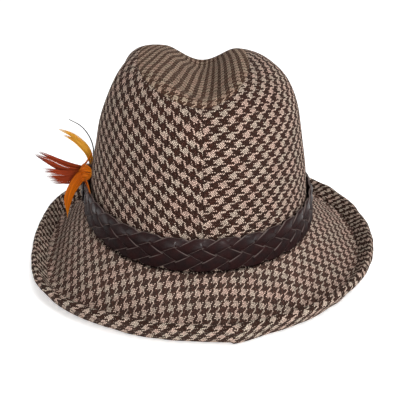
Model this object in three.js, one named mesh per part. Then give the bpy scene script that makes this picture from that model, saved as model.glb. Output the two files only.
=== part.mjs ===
// A cut-and-sewn houndstooth fedora with a braided leather band and a tuft of feathers.
// Millimetres, +Z up. The front faces -Y, the back +Y, and the wearer's left is +X.
// The origin is on the surface on which the hat rests, under the middle of the hat.

import * as THREE from "three";

// ---- Driving dimensions -------------------------------------------------------------------

const CLOTH = 2; // thickness of the crown's cloth
const BRIM_CLOTH = 2.2; // two plies of cloth, stitched together
const GAP = 0.3; // clearance between pieces that touch
const COLUMNS = 52; // steps round the hat

// The outer face of the cloth at the foot of the crown, in plan: a slightly squared oval.
const FOOT = { halfWidth: 81.5, halfLength: 100, squareness: 2.1, depth: 3.5 };

// The open crown's profile, a row for each direction. footZ is where brim and crown meet.
// The wall leans in by lean up to shoulderZ, then rounds over to the top at topInset, topZ.
// seamInset is how far in from the foot the tip is sewn on.
const CROWN = {
  left: { footZ: 32, lean: 8, shoulderZ: 82, topInset: 42.5, topZ: 140.5, seamInset: 39.5 },
  right: { footZ: 25, lean: 9, shoulderZ: 97.5, topInset: 48.5, topZ: 139.5, seamInset: 47 },
  back: { footZ: 24.5, lean: 9, shoulderZ: 91, topInset: 44, topZ: 136.5, seamInset: 25.5 },
  front: { footZ: 27, lean: 10, shoulderZ: 92, topInset: 39, topZ: 131, seamInset: 26 },
};
const CROWN_CENTRE_Z = 137;
const WALL_BELLY = 0.6; // the wall's outward bow between foot and shoulder
const SHOULDER_ROUND = 0.55; // length of the shoulder's curve handles, as a share of its run
const WALL_END = 0.5; // where the wall ends and the shoulder starts along the profile
const SHOULDER_END = 0.8;

// The crease along the crown, a little to the right of its middle, and the stretches over which
// it fades out towards the back and the front.
const CREASE = { x: -2.5, depth: 12.5, halfWidth: 27, backFade: [44, 92], frontFade: [52, 100] };

// The back seam runs this far round from the middle, towards the right, in degrees.
const SEAM_TURN = 2.4;

// Dents and lifts shaped by hand, a row each: the middle, the radius and the push.
const HAND_FORMED = [
  { name: "left front pinch", at: [50, -72, 110], radius: 25, push: [-12, 8, -3] },
  { name: "right front pinch", at: [-50, -72, 110], radius: 25, push: [12, 8, -3] },
  { name: "left side dimple", at: [64, -12, 116], radius: 18, push: [-8, 0, -1.5] },
  { name: "left ridge lift", at: [42, -50, 134], radius: 30, push: [2, 0, 3] },
];

// The brim slopes down from the crown's foot to a fold that rests on the surface,
// and its edge turns up. overhang is the width in plan, a row for each direction.
const BRIM = {
  left: { overhang: 39.2, lipAngle: 45 },
  right: { overhang: 47, lipAngle: 45 },
  back: { overhang: 47.6, lipAngle: 68 },
  front: { overhang: 44, lipAngle: 45 },
};
// Where hand shaping drew the edge out or in: the middle and the spread are in degrees,
// turning from the left towards the back.
const BRIM_FLARES = [
  { name: "left front", turn: -27, spread: 14.5, out: 3 },
  { name: "left back", turn: 42, spread: 17, out: 5.2 },
  { name: "point at the binding's join", turn: 99.4, spread: 6, out: 3.7 },
  { name: "right back", turn: 129, spread: 26.5, out: -1.4 },
];
const FOLD_RADIUS = 8;
const FOLD_FLAT = 0.35; // how far the fold is pressed flat where it rests
const LIP = 7.5; // straight length of the turned-up edge past the fold

// The binding's strip covers upper of the brim's top face, and lower of its underside where
// that leaves it clear of the surface.
const BINDING = { upper: 10.5, lower: 11.5, thickness: 1.2, lowest: 38 };
const BAND = { height: 21.5, thickness: 3.6, corner: 1, lift: 0.9 };
const BAND_JOIN = { turn: -4, spread: 8, swell: 4.5 }; // the braid's ends overlap, in degrees

// The feathers, a row for each point from root to tip: place, width and thickness.
const FEATHERS = {
  feather_rust: [
    { at: [82.5, 2, 57.4], width: 3, thickness: 1.6 },
    { at: [88, 2, 57.6], width: 6, thickness: 2 },
    { at: [93.5, 2, 54.2], width: 13, thickness: 2.6 },
    { at: [100.5, 1, 54.6], width: 16, thickness: 3 },
    { at: [106.5, 0, 57], width: 16, thickness: 3 },
    { at: [112, 0, 62.5], width: 10, thickness: 2 },
    { at: [117.5, 0, 68.5], width: 2, thickness: 1.2 },
  ],
  feather_orange: [
    { at: [76.6, 13, 73], width: 1.2, thickness: 1.2 },
    { at: [79.6, 13, 67.4], width: 1.8, thickness: 1.2 },
    { at: [83, 13.2, 60.8], width: 6, thickness: 1.6 },
    { at: [87.6, 13.5, 53.8], width: 8, thickness: 2 },
    { at: [91.6, 14, 45.8], width: 7.6, thickness: 2 },
    { at: [94.4, 14, 38.7], width: 6.4, thickness: 1.8 },
    { at: [96.1, 14, 31.5], width: 4, thickness: 1.4 },
    { at: [97, 14, 24], width: 1.2, thickness: 1.2 },
  ],
  feather_gold: [
    { at: [79.9, -5, 55.3], width: 2, thickness: 1.4 },
    { at: [80.2, -5, 63.5], width: 4.4, thickness: 1.4 },
    { at: [83, -5, 69.6], width: 5.2, thickness: 1.4 },
    { at: [87.6, -5, 74.9], width: 5.4, thickness: 1.4 },
    { at: [93.9, -5, 78.8], width: 5.2, thickness: 1.4 },
    { at: [99.5, -5, 82], width: 4, thickness: 1.3 },
    { at: [102.5, -5, 84], width: 1.4, thickness: 1.2 },
  ],
  feather_quill: [
    { at: [79.4, -9, 55.3], width: 1.2, thickness: 1.2 },
    { at: [78, -9, 63], width: 1.2, thickness: 1.2 },
    { at: [78.2, -9, 71], width: 1.2, thickness: 1.2 },
    { at: [80.9, -9, 78.9], width: 1.2, thickness: 1.2 },
    { at: [86.2, -9, 86], width: 1.2, thickness: 1.2 },
    { at: [94.5, -9, 91], width: 1.2, thickness: 1.2 },
  ],
};

// ---- Small helpers ------------------------------------------------------------------------

const TAU = Math.PI * 2;
const QUARTER = Math.PI / 2;

const mix = (a, b, k) => a + (b - a) * k;
const vec = (x, y, z) => new THREE.Vector3(x, y, z);

function fade(from, to, value) {
  return THREE.MathUtils.smoothstep(value, from, to);
}

/** The value of a column of a four-row table in the plan direction of angle u. */
function around(table, column, u) {
  const across = Math.cos(u) ** 2;
  const side = Math.cos(u) > 0 ? table.left : table.right;
  const end = Math.sin(u) > 0 ? table.back : table.front;
  return across * side[column] + (1 - across) * end[column];
}

// ---- The crown's surface ------------------------------------------------------------------

/** The foot's oval at angle u, in plan. */
function footPoint(u) {
  const [c, s, n] = [Math.cos(u), Math.sin(u), FOOT.squareness];
  const reach = (Math.abs(c) ** n + Math.abs(s) ** n) ** (-1 / n);
  return vec(FOOT.halfWidth * c * reach, FOOT.halfLength * s * reach, 0);
}

/** The oval's outward normal at angle u, in plan. */
function footNormal(u) {
  const step = 1e-3;
  const along = footPoint(u + step).sub(footPoint(u - step));
  return vec(along.y, -along.x, 0).normalize();
}

/** A cubic through a shoulder or a top, from a to d with handles b and c. */
function cubic(a, b, c, d, k) {
  const m = 1 - k;
  return m * m * m * a + 3 * m * m * k * b + 3 * m * k * k * c + k * k * k * d;
}

/** The undented profile at angle u: inset and height at q, from 0 at the foot to 1 at the middle. */
function crownProfile(u, q) {
  const footZ = around(CROWN, "footZ", u) - FOOT.depth;
  const lean = around(CROWN, "lean", u);
  const shoulderZ = around(CROWN, "shoulderZ", u);
  const topInset = around(CROWN, "topInset", u);
  const topZ = around(CROWN, "topZ", u);
  if (q <= WALL_END) {
    const k = q / WALL_END;
    const bow = WALL_BELLY * Math.sin(Math.PI * k);
    return { inset: lean * k - bow, z: mix(footZ, shoulderZ, k), inward: 0 };
  }
  if (q <= SHOULDER_END) {
    const k = (q - WALL_END) / (SHOULDER_END - WALL_END);
    const rise = (topZ - shoulderZ) * SHOULDER_ROUND;
    const run = (topInset - lean) * SHOULDER_ROUND;
    const slope = (lean + Math.PI * WALL_BELLY) / (shoulderZ - footZ);
    return {
      inset: cubic(lean, lean + rise * slope, topInset - run, topInset, k),
      z: cubic(shoulderZ, shoulderZ + rise, topZ, topZ, k),
      inward: 0,
    };
  }
  const k = (q - SHOULDER_END) / (1 - SHOULDER_END);
  return { inset: topInset, z: mix(topZ, CROWN_CENTRE_Z, fade(0, 1, k)), inward: k };
}

/** How deep the centre crease is at a place in plan. */
function creaseDepth(x, y) {
  const across = Math.min(Math.abs(x - CREASE.x) / CREASE.halfWidth, 1);
  const back = 1 - fade(...CREASE.backFade, y);
  const front = 1 - fade(...CREASE.frontFade, -y);
  return CREASE.depth * Math.cos(across * QUARTER) ** 2 * back * front;
}

/** The outer face of the crown at angle u and profile place q, dents and all. */
function crownPoint(u, q) {
  const { inset, z, inward } = crownProfile(u, q);
  const plan = footPoint(u).addScaledVector(footNormal(u), -inset);
  plan.multiplyScalar(1 - inward);
  const point = vec(plan.x, plan.y, z - creaseDepth(plan.x, plan.y));
  const pushed = point.clone();
  for (const { at, radius, push } of HAND_FORMED) {
    const apart = point.distanceTo(vec(...at)) / radius;
    pushed.addScaledVector(vec(...push), Math.exp(-apart * apart));
  }
  return pushed;
}

/** The crown's outward normal at angle u and profile place q. */
function crownNormal(u, q) {
  const step = 2e-3;
  const near = Math.min(q, 1 - 2 * step);
  const along = crownPoint(u + step, near).sub(crownPoint(u - step, near));
  const up = crownPoint(u, near + step).sub(crownPoint(u, near - step));
  return along.cross(up).normalize();
}

/** A point the given depth inside the crown's outer face; the middle has one normal for all u. */
function crownInside(u, q, depth) {
  const normal = q >= 1 ? vec(0, 0, 1) : crownNormal(u, q);
  return crownPoint(u, q).addScaledVector(normal, -depth);
}

/** The profile place where the tip is sewn to the sides, at angle u. */
function seamPlace(u) {
  const wanted = around(CROWN, "seamInset", u);
  let [low, high] = [WALL_END, SHOULDER_END];
  for (let i = 0; i < 30; i++) {
    const middle = (low + high) / 2;
    if (crownProfile(u, middle).inset < wanted) {
      low = middle;
    } else {
      high = middle;
    }
  }
  return low;
}

// ---- Solids -------------------------------------------------------------------------------

/** A closed solid through equal closed sections, either round to the first or capped at its ends. */
function loft(sections, wrap) {
  const places = [];
  const numbers = new Map();
  const triangles = [];
  const numberOf = (p) => {
    const key = [p.x, p.y, p.z].map((value) => Math.round(value * 1e3)).join();
    if (!numbers.has(key)) {
      numbers.set(key, places.length / 3);
      places.push(p.x, p.y, p.z);
    }
    return numbers.get(key);
  };
  const rows = sections.map((section) => section.map(numberOf));
  const triangle = (a, b, c) => {
    if (a !== b && b !== c && a !== c) {
      triangles.push(a, b, c);
    }
  };
  const quad = (a, b, c, d) => {
    triangle(a, b, c);
    triangle(a, c, d);
  };
  const size = rows[0].length;
  const spans = wrap ? rows.length : rows.length - 1;
  for (let i = 0; i < spans; i++) {
    const [here, next] = [rows[i], rows[(i + 1) % rows.length]];
    for (let j = 0; j < size; j++) {
      const k = (j + 1) % size;
      quad(here[j], next[j], next[k], here[k]);
    }
  }
  if (!wrap) {
    const [first, last] = [rows[0], rows[rows.length - 1]];
    for (let j = 0; j < size / 2 - 1; j++) {
      const [far, farther] = [size - 1 - j, size - 2 - j];
      quad(first[j], first[j + 1], first[farther], first[far]);
      quad(last[far], last[farther], last[j + 1], last[j]);
    }
  }
  const geometry = new THREE.BufferGeometry();
  geometry.setAttribute("position", new THREE.Float32BufferAttribute(places, 3));
  geometry.setIndex(volumeOf(places, triangles) < 0 ? triangles.reverse() : triangles);
  geometry.computeVertexNormals();
  return geometry;
}

/** The signed volume inside a list of triangles. */
function volumeOf(places, triangles) {
  const corner = (i) => vec().fromArray(places, triangles[i] * 3);
  let volume = 0;
  for (let i = 0; i < triangles.length; i += 3) {
    volume += corner(i).dot(corner(i + 1).cross(corner(i + 2))) / 6;
  }
  return volume;
}

/** The angles of the steps from one angle to another. */
function angles(from, to, count) {
  return Array.from({ length: count + 1 }, (_, i) => mix(from, to, i / count));
}

// Both halves of the crown step from the front seam to the back seam; the rings share the steps.
const BACK_SEAM = QUARTER + THREE.MathUtils.degToRad(SEAM_TURN);
const leftAngles = angles(-QUARTER, BACK_SEAM, COLUMNS / 2);
const rightAngles = angles(-QUARTER + TAU, BACK_SEAM, COLUMNS / 2);
const ringAngles = [...leftAngles, ...rightAngles.slice(1, -1).reverse()];

// ---- The crown's panels -------------------------------------------------------------------

const SLOPE_ROWS = 3;
const SIDE_ROWS = 12;
const TIP_ROWS = 7;

/** One half of the crown's wall, from the centre front seam round one side to the back seam. */
function crownSide(columns) {
  const side = Math.sign(columns[1] - columns[0]);
  const sections = columns.map((u, column) => {
    const places = angles(0, seamPlace(u), SIDE_ROWS);
    const outer = places.map((q) => crownPoint(u, q));
    const inner = places.map((q) => crownInside(u, q, CLOTH)).reverse();
    const section = [...outer, ...inner];
    const fromSeam = { 0: 1, [columns.length - 1]: -1 }[column] ?? 0;
    const along = crownPoint(u + side * 0.01, 0).sub(crownPoint(u, 0)).normalize();
    for (const point of section) {
      point.addScaledVector(along, (fromSeam * GAP) / 2);
    }
    return section;
  });
  return loft(sections, false);
}

/** The oval top panel, creased down the middle, edge to edge with the sides. */
function crownTip() {
  const gapPlace = GAP * 0.011; // the profile place that a gap takes up at the seam
  const sections = ringAngles.map((u) => {
    const places = angles(seamPlace(u) + gapPlace, 1, TIP_ROWS);
    const outer = places.map((q) => crownPoint(u, q));
    const inner = places.map((q) => crownInside(u, q, CLOTH)).reverse();
    return [...outer, ...inner];
  });
  return loft(sections, true);
}

// ---- The brim and what is on it -----------------------------------------------------------

/** The brim's width in plan at angle u. */
function overhangAt(u) {
  let overhang = around(BRIM, "overhang", u);
  for (const { turn, spread, out } of BRIM_FLARES) {
    overhang += out * Math.exp(-(((THREE.MathUtils.radToDeg(u) - turn) / spread) ** 2));
  }
  return overhang;
}

/** The line of the brim's lower face at angle u: its slope, its fold and its turned-up lip. */
function brimLine(u) {
  const overhang = overhangAt(u);
  const lip = THREE.MathUtils.degToRad(around(BRIM, "lipAngle", u));
  const centre = {
    o: overhang - FOLD_RADIUS * Math.sin(lip) - LIP * Math.cos(lip),
    z: FOLD_RADIUS - FOLD_FLAT,
  };
  const start = { o: GAP, z: around(CROWN, "footZ", u) - BRIM_CLOTH * 1.25 };
  const [across, down] = [centre.o - start.o, centre.z - start.z];
  const slope = Math.asin(FOLD_RADIUS / Math.hypot(across, down)) - Math.atan2(down, across);
  const onFold = (angle) => ({
    o: centre.o + FOLD_RADIUS * Math.sin(angle),
    z: Math.max(centre.z - FOLD_RADIUS * Math.cos(angle), 0),
    angle,
  });
  const end = onFold(lip);
  const edge = { o: end.o + LIP * Math.cos(lip), z: end.z + LIP * Math.sin(lip), angle: lip };
  return { start, slope, lip, onFold, edge };
}

/** A point off the brim's lower face at angle u: depth is measured up through the cloth. */
function brimPoint(u, row, depth, beyond = 0) {
  const o = row.o - depth * Math.sin(row.angle) + beyond * Math.cos(row.angle);
  const z = row.z + depth * Math.cos(row.angle) + beyond * Math.sin(row.angle);
  const plan = footPoint(u).addScaledVector(footNormal(u), o);
  return vec(plan.x, plan.y, z);
}

function brim() {
  const sections = ringAngles.map((u) => {
    const { start, slope, lip, onFold, edge } = brimLine(u);
    const flat = Math.acos(1 - FOLD_FLAT / FOLD_RADIUS);
    const foot = onFold(-slope);
    const slopeRows = angles(0, 1, SLOPE_ROWS).map((k) => ({
      o: mix(start.o, foot.o, k),
      z: mix(start.z, foot.z, k),
      angle: -slope,
    }));
    const foldRows = [-flat, flat, mix(flat, lip, 0.5), lip].map(onFold);
    const rows = [...slopeRows, ...foldRows, edge];
    const lower = rows.map((row) => brimPoint(u, row, 0));
    const upper = rows.map((row) => brimPoint(u, row, BRIM_CLOTH)).reverse();
    const corner = lower[0].clone(); // straight above the lower one, clear of the crown
    corner.z += BRIM_CLOTH / Math.cos(slope);
    return [...lower, ...upper.slice(0, -1), corner];
  });
  return loft(sections, true);
}

/** The strip wrapped round the brim's edge. */
function brimBinding() {
  const { upper, lower, thickness, lowest } = BINDING;
  const sections = ringAngles.map((u) => {
    const { lip, onFold, edge } = brimLine(u);
    const below = lip - (lower - LIP) / FOLD_RADIUS;
    const underStart = Math.max(below, THREE.MathUtils.degToRad(lowest));
    const overStart = lip - (upper - LIP) / (FOLD_RADIUS - BRIM_CLOTH);
    const under = [...angles(underStart, lip, 1).map(onFold), edge];
    const over = [edge, ...angles(lip, overStart, 2).map(onFold)];
    const strip = (reach) => [
      ...under.map((row) => brimPoint(u, row, -reach)),
      brimPoint(u, edge, -reach / 2, reach),
      brimPoint(u, edge, BRIM_CLOTH + reach / 2, reach),
      ...over.map((row) => brimPoint(u, row, BRIM_CLOTH + reach)),
    ];
    return [...strip(GAP + thickness), ...strip(GAP).reverse()];
  });
  return loft(sections, true);
}

/** The plain solid of the braid: a ring that lies against the crown just above the brim. */
function braidedBand() {
  const { height, thickness, corner, lift } = BAND;
  const outline = (outer) => [
    { up: corner, out: 0 },
    { up: 0, out: corner },
    { up: 0, out: outer - corner },
    { up: corner, out: outer },
    { up: height / 2, out: outer + 0.4 },
    { up: height - corner, out: outer },
    { up: height, out: outer - corner },
    { up: height, out: corner },
    { up: height - corner, out: 0 },
    { up: height / 2, out: 0 },
  ];
  const sections = ringAngles.map((u) => {
    const fromJoin = (THREE.MathUtils.radToDeg(u) - BAND_JOIN.turn) / BAND_JOIN.spread;
    const outer = thickness + BAND_JOIN.swell * Math.exp(-fromJoin * fromJoin);
    const footZ = around(CROWN, "footZ", u);
    const wall = around(CROWN, "shoulderZ", u) - footZ + FOOT.depth;
    return outline(outer).map(({ up, out }) => {
      const q = ((up + lift + FOOT.depth) / wall) * WALL_END;
      return crownPoint(u, q).addScaledVector(crownNormal(u, q), out + GAP);
    });
  });
  return loft(sections, true);
}

/** A feather's outer form: flattened sections strung along its curve. */
function feather(rows) {
  const spine = new THREE.CatmullRomCurve3(rows.map((row) => vec(...row.at)));
  const steps = (rows.length - 1) * 2;
  const sides = 8;
  const sections = angles(0, 1, steps).map((k) => {
    const place = k * (rows.length - 1);
    const before = rows[Math.min(Math.floor(place), rows.length - 2)];
    const after = rows[rows.indexOf(before) + 1];
    const share = place - rows.indexOf(before);
    const width = mix(before.width, after.width, share);
    const thickness = mix(before.thickness, after.thickness, share);
    const along = spine.getTangent(k);
    const across = along.clone().cross(vec(0, 1, 0)).normalize();
    const through = along.clone().cross(across).normalize();
    return angles(0, TAU, sides).slice(0, -1).map((turn) =>
      spine
        .getPoint(k)
        .addScaledVector(across, (Math.cos(turn + TAU / 16) * width) / 2)
        .addScaledVector(through, (Math.sin(turn + TAU / 16) * thickness) / 2),
    );
  });
  return loft(sections, false);
}

// ---- The hat ------------------------------------------------------------------------------

const tweed = new THREE.MeshStandardMaterial({ color: 0x8a7566, roughness: 0.95, metalness: 0 });
const leather = new THREE.MeshStandardMaterial({ color: 0x33221f, roughness: 0.4, metalness: 0 });
const featherColours = {
  feather_rust: 0x9a4020,
  feather_orange: 0xd2690a,
  feather_gold: 0xe0a438,
  feather_quill: 0x3c3c38,
};

function piece(name, geometry, material) {
  const mesh = new THREE.Mesh(geometry, material);
  mesh.name = name;
  return mesh;
}

const group = new THREE.Group();
group.add(
  piece("crown_side_left", crownSide(leftAngles), tweed),
  piece("crown_side_right", crownSide(rightAngles), tweed),
  piece("crown_tip", crownTip(), tweed),
  piece("brim", brim(), tweed),
  piece("brim_binding", brimBinding(), tweed),
  piece("braided_band", braidedBand(), leather),
);
for (const [name, rows] of Object.entries(FEATHERS)) {
  const color = featherColours[name];
  const barbs = new THREE.MeshStandardMaterial({ color, roughness: 0.7, metalness: 0 });
  group.add(piece(name, feather(rows), barbs));
}

// The origin goes under the middle of the hat's overall box.
const box = new THREE.Box3().setFromObject(group);
const middle = box.getCenter(vec());
for (const mesh of group.children) {
  mesh.geometry.translate(-middle.x, -middle.y, -box.min.z);
}

export default group;
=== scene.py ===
"""A cut-and-sewn houndstooth fedora with a braided leather band and a tuft of feathers."""

import math

import bpy
import numpy as np
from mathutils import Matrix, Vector, noise


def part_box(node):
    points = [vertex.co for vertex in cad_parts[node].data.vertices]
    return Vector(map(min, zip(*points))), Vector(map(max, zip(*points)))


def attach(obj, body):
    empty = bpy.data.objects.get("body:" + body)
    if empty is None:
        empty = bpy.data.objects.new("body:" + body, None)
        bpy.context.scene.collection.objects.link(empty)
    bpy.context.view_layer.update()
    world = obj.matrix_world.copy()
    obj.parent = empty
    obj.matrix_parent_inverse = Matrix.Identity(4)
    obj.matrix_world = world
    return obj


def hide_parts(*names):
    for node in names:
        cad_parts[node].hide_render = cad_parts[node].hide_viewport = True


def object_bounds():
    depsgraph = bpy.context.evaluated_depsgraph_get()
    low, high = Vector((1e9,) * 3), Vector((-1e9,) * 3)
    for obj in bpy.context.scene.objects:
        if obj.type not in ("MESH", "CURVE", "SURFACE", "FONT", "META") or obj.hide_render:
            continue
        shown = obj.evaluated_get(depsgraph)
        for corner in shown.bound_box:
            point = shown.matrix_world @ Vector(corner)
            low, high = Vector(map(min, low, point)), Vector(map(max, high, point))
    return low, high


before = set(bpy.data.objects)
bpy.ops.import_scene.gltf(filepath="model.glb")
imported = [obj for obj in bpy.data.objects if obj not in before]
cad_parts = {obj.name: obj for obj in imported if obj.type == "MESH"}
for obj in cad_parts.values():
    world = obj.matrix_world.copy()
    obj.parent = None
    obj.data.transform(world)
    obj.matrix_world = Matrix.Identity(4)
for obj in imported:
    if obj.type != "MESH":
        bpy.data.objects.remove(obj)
cad_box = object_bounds()

# ---- Sizes, in millimetres as in the CAD --------------------------------------------------

GAP = 0.3
CLOTH = 2.0
BRIM_CLOTH = 2.2

FOOT = {"half_width": 81.5, "half_length": 100, "squareness": 2.1, "depth": 3.5}

# The open crown's profile, a row for each direction.
CROWN = {
    "left": dict(foot_z=32, lean=8, shoulder_z=82, top_inset=42.5, top_z=140.5, seam_inset=39.5),
    "right": dict(foot_z=25, lean=9, shoulder_z=97.5, top_inset=48.5, top_z=139.5, seam_inset=47),
    "back": dict(foot_z=24.5, lean=9, shoulder_z=91, top_inset=44, top_z=136.5, seam_inset=25.5),
    "front": dict(foot_z=27, lean=10, shoulder_z=92, top_inset=39, top_z=131, seam_inset=26),
}
CROWN_CENTRE_Z = 137
WALL_BELLY = 0.6
SHOULDER_ROUND = 0.55
WALL_END = 0.5
SHOULDER_END = 0.8
CREASE = {"x": -2.5, "depth": 12.5, "half_width": 27, "back_fade": (44, 92), "front_fade": (52, 100)}
SEAM_TURN = math.radians(2.4)

# Dents and lifts shaped by hand, a row each: the middle, the radius and the push.
HAND_FORMED = [
    {"name": "left front pinch", "at": (50, -72, 110), "radius": 25, "push": (-12, 8, -3)},
    {"name": "right front pinch", "at": (-50, -72, 110), "radius": 25, "push": (12, 8, -3)},
    {"name": "left side dimple", "at": (64, -12, 116), "radius": 18, "push": (-8, 0, -1.5)},
    {"name": "left ridge lift", "at": (42, -50, 134), "radius": 30, "push": (2, 0, 3)},
]

BRIM = {
    "left": {"overhang": 39.2, "lip_angle": 45},
    "right": {"overhang": 47, "lip_angle": 45},
    "back": {"overhang": 47.6, "lip_angle": 68},
    "front": {"overhang": 44, "lip_angle": 45},
}
# Where hand shaping drew the edge out or in, in degrees from the left towards the back.
BRIM_FLARES = [
    {"name": "left front", "turn": -27, "spread": 14.5, "out": 3},
    {"name": "left back", "turn": 42, "spread": 17, "out": 5.2},
    {"name": "point at the binding's join", "turn": 99.4, "spread": 6, "out": 3.7},
    {"name": "right back", "turn": 129, "spread": 26.5, "out": -1.4},
]
FOLD_RADIUS = 8
FOLD_FLAT = 0.35
LIP = 7.5
BINDING = {"upper": 10.5, "lower": 11.5, "thickness": 1.2, "lowest": 38}
BAND = {"height": 21.5, "thickness": 3.6, "lift": 0.9}
BAND_JOIN = {"turn": -4, "spread": 8, "swell": 4.5}

TAU = 2 * math.pi
QUARTER = math.pi / 2
BACK_SEAM = QUARTER + SEAM_TURN

# The middle of the head opening in the frame, from the crown's own boxes.
left_low, left_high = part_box("crown_side_left")
right_low, right_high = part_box("crown_side_right")
HEAD_MIDDLE = np.array([
    (left_high.x + right_low.x) / 2,
    (max(left_high.y, right_high.y) + min(left_low.y, right_low.y)) / 2,
    0,
])


# ---- The hat's surfaces, as in the CAD ----------------------------------------------------


def smoothstep(low, high, value):
    k = np.clip((value - low) / (high - low), 0, 1)
    return k * k * (3 - 2 * k)


def unit(vectors):
    return vectors / np.linalg.norm(vectors, axis=-1, keepdims=True)


def around(table, column, u):
    """The value of a column of a four-row table in the plan direction of angle u."""
    across = np.cos(u) ** 2
    side = np.where(np.cos(u) > 0, table["left"][column], table["right"][column])
    end = np.where(np.sin(u) > 0, table["back"][column], table["front"][column])
    return across * side + (1 - across) * end


def foot_point(u):
    c, s, n = np.cos(u), np.sin(u), FOOT["squareness"]
    reach = (np.abs(c) ** n + np.abs(s) ** n) ** (-1 / n)
    return np.stack([FOOT["half_width"] * c * reach, FOOT["half_length"] * s * reach, 0 * c], -1)


def foot_normal(u):
    along = foot_point(u + 1e-3) - foot_point(u - 1e-3)
    return unit(np.stack([along[..., 1], -along[..., 0], 0 * along[..., 0]], -1))


def cubic(a, b, c, d, k):
    m = 1 - k
    return m**3 * a + 3 * m * m * k * b + 3 * m * k * k * c + k**3 * d


def crown_profile(u, q):
    """The undented profile: inset, height and how far in towards the middle."""
    foot_z = around(CROWN, "foot_z", u) - FOOT["depth"]
    lean = around(CROWN, "lean", u)
    shoulder_z = around(CROWN, "shoulder_z", u)
    top_inset = around(CROWN, "top_inset", u)
    top_z = around(CROWN, "top_z", u)
    wall = np.clip(q / WALL_END, 0, 1)
    wall_inset = lean * wall - WALL_BELLY * np.sin(np.pi * wall)
    wall_z = foot_z + (shoulder_z - foot_z) * wall
    turn = np.clip((q - WALL_END) / (SHOULDER_END - WALL_END), 0, 1)
    rise = (top_z - shoulder_z) * SHOULDER_ROUND
    run = (top_inset - lean) * SHOULDER_ROUND
    slope = (lean + np.pi * WALL_BELLY) / (shoulder_z - foot_z)
    turn_inset = cubic(lean, lean + rise * slope, top_inset - run, top_inset, turn)
    turn_z = cubic(shoulder_z, shoulder_z + rise, top_z, top_z, turn)
    inward = np.clip((q - SHOULDER_END) / (1 - SHOULDER_END), 0, 1)
    flat_z = top_z + (CROWN_CENTRE_Z - top_z) * smoothstep(0, 1, inward)
    inset = np.where(q <= WALL_END, wall_inset, turn_inset)
    z = np.where(q <= WALL_END, wall_z, np.where(q <= SHOULDER_END, turn_z, flat_z))
    return inset, z, inward


def crease_depth(x, y):
    across = np.minimum(np.abs(x - CREASE["x"]) / CREASE["half_width"], 1)
    back = 1 - smoothstep(*CREASE["back_fade"], y)
    front = 1 - smoothstep(*CREASE["front_fade"], -y)
    return CREASE["depth"] * np.cos(across * QUARTER) ** 2 * back * front


def crown_point(u, q):
    u, q = np.broadcast_arrays(u, q)
    inset, z, inward = crown_profile(u, q)
    plan = (foot_point(u) - foot_normal(u) * inset[..., None]) * (1 - inward[..., None])
    point = plan.copy()
    point[..., 2] = z - crease_depth(plan[..., 0], plan[..., 1])
    pushed = point.copy()
    for dent in HAND_FORMED:
        apart = np.linalg.norm(point - np.array(dent["at"]), axis=-1) / dent["radius"]
        pushed += np.exp(-(apart**2))[..., None] * np.array(dent["push"])
    return pushed


def crown_normal(u, q):
    step = 2e-3
    near = np.minimum(q, 1 - 2 * step)
    along = crown_point(u + step, near) - crown_point(u - step, near)
    up = crown_point(u, near + step) - crown_point(u, near - step)
    normal = unit(np.cross(along, up))
    middle = np.broadcast_to(np.asarray(q >= 1)[..., None], normal.shape)
    return np.where(middle, [0.0, 0.0, 1.0], normal)


def seam_place(u):
    """The profile place where the tip is sewn to the sides."""
    wanted = around(CROWN, "seam_inset", u)
    low = np.full(np.shape(u), WALL_END)
    high = np.full(np.shape(u), SHOULDER_END)
    for _ in range(30):
        middle = (low + high) / 2
        short = crown_profile(u, middle)[0] < wanted
        low = np.where(short, middle, low)
        high = np.where(short, high, middle)
    return low


def brim_line(u):
    """The brim's lower face at angle u: start, slope, lip angle and the fold's centre."""
    overhang = around(BRIM, "overhang", u)
    for flare in BRIM_FLARES:
        turned_by = (np.degrees(u) + 90) % 360 - 90 - flare["turn"]
        overhang = overhang + flare["out"] * np.exp(-((turned_by / flare["spread"]) ** 2))
    lip = np.radians(around(BRIM, "lip_angle", u))
    centre = (overhang - FOLD_RADIUS * np.sin(lip) - LIP * np.cos(lip), FOLD_RADIUS - FOLD_FLAT)
    start = (GAP, around(CROWN, "foot_z", u) - BRIM_CLOTH * 1.25)
    across, down = centre[0] - start[0], centre[1] - start[1]
    slope = np.arcsin(FOLD_RADIUS / np.hypot(across, down)) - np.arctan2(down, across)
    return start, slope, lip, centre


def on_fold(centre, angle):
    z = np.maximum(centre[1] - FOLD_RADIUS * np.cos(angle), 0)
    return centre[0] + FOLD_RADIUS * np.sin(angle), z, angle


def past_fold(centre, lip, length):
    o, z, _ = on_fold(centre, lip)
    return o + length * np.cos(lip), z + length * np.sin(lip), lip


def brim_point(u, row, depth, beyond=0.0):
    """A point off the brim's lower face: depth is measured up through the cloth."""
    o, z, angle = row
    out = o - depth * np.sin(angle) + beyond * np.cos(angle)
    up = z + depth * np.cos(angle) + beyond * np.sin(angle)
    plan = foot_point(u) + foot_normal(u) * out[..., None]
    return np.concatenate([plan[..., :2], up[..., None]], -1)


def band_point(u, up, out):
    """A point on the crown, up from the brim, and out from its face."""
    foot_z = around(CROWN, "foot_z", u)
    wall = around(CROWN, "shoulder_z", u) - foot_z + FOOT["depth"]
    q = (up + BAND["lift"] + FOOT["depth"]) / wall * WALL_END
    return crown_point(u, q) + crown_normal(u, q) * (out + GAP)[..., None]


# ---- Making meshes ------------------------------------------------------------------------


def placed(points):
    """Millimetres about the head's middle to metres in the frame."""
    return np.asarray(points) / 1000 + HEAD_MIDDLE


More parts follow.
